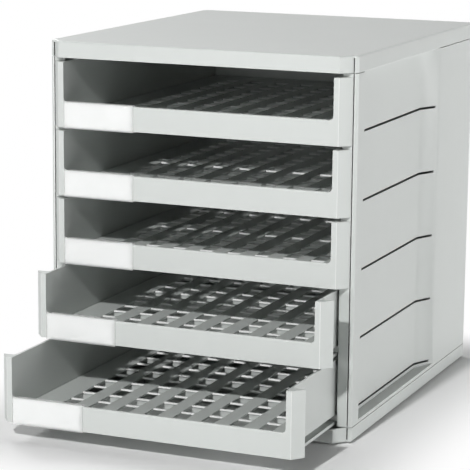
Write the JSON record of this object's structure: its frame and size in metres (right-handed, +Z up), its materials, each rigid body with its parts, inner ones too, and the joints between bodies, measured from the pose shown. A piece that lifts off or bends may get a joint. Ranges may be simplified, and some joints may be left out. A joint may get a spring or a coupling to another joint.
{
  "type": "desktop file drawer",
  "caption": "Desktop document cabinet with open-fronted sliding trays on side rails, chamfered corners, recessed sides and clip-on label holders.",
  "frame": {"origin": "middle of the part's bounding box on the plane that the feet stand on, with the two lower drawers open as in the picture", "axes": "+X to the right seen from the front, +Y from the drawer fronts to the back, +Z up"},
  "size_m": [0.275, 0.4246, 0.32],
  "materials": {
    "cabinet_plastic": "fine-textured light grey moulded plastic",
    "tray_plastic": "light grey moulded plastic, slightly smoother than the cabinet",
    "clear_plastic": "clear polished plastic",
    "label_card": "plain white card stock",
    "foot_rubber": "matte dark rubber"
  },
  "bodies": {
    "cabinet": {"top_cover": "cabinet_plastic", "base_plate": "cabinet_plastic", "left_side_panel": "cabinet_plastic", "right_side_panel": "cabinet_plastic", "back_panel": "cabinet_plastic", "foot_front_left": "foot_rubber", "foot_front_right": "foot_rubber", "foot_rear_left": "foot_rubber", "foot_rear_right": "foot_rubber"},
    "drawer_1": {"drawer_tray_1": "tray_plastic", "label_window_1": "clear_plastic", "label_card_1": "label_card"},
    "drawer_2": {"drawer_tray_2": "tray_plastic", "label_window_2": "clear_plastic", "label_card_2": "label_card"},
    "drawer_3": {"drawer_tray_3": "tray_plastic", "label_window_3": "clear_plastic", "label_card_3": "label_card"},
    "drawer_4": {"drawer_tray_4": "tray_plastic", "label_window_4": "clear_plastic", "label_card_4": "label_card"},
    "drawer_5": {"drawer_tray_5": "tray_plastic", "label_window_5": "clear_plastic", "label_card_5": "label_card"}
  },
  "joints": [
    {"name": "drawer_1_slide", "type": "slide", "parent": "cabinet", "child": "drawer_1", "axis": [0, -1, 0], "range_m": [0, 0.25]},
    {"name": "drawer_2_slide", "type": "slide", "parent": "cabinet", "child": "drawer_2", "axis": [0, -1, 0], "range_m": [0, 0.25]},
    {"name": "drawer_3_slide", "type": "slide", "parent": "cabinet", "child": "drawer_3", "axis": [0, -1, 0], "range_m": [0, 0.25]},
    {"name": "drawer_4_slide", "type": "slide", "parent": "cabinet", "child": "drawer_4", "axis": [0, -1, 0], "range_m": [-0.034, 0.216]},
    {"name": "drawer_5_slide", "type": "slide", "parent": "cabinet", "child": "drawer_5", "axis": [0, -1, 0], "range_m": [-0.094, 0.156]}
  ]
}
